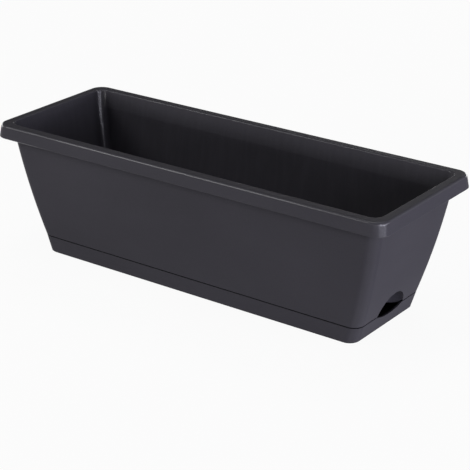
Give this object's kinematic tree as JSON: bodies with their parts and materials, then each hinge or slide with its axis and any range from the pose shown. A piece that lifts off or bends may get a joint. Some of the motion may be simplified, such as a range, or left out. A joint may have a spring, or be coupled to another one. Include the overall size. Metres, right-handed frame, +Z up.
{
  "type": "rectangular planter",
  "caption": "Long tapered flower trough with a turned-down rim, standing on a flush clip-on water tray that is filled through a half-moon scoop in one end.",
  "frame": {"origin": "middle of the footprint, on the surface that the water tray stands on", "axes": "+X along the trough towards the watering scoop, -Y the front, +Z up"},
  "size_m": [0.5, 0.18, 0.15],
  "materials": {
    "trough_plastic": "fine-grained anthracite polypropylene, matt with a soft sheen",
    "tray_plastic": "fine-grained anthracite polypropylene, matt with a soft sheen"
  },
  "bodies": {
    "water_tray": {"water_tray": "tray_plastic"},
    "trough": {"trough": "trough_plastic"}
  },
  "joints": [
    {"name": "trough_lift", "type": "slide", "parent": "water_tray", "child": "trough", "axis": [0, 0, 1], "range_m": [0, 0.06]}
  ]
}
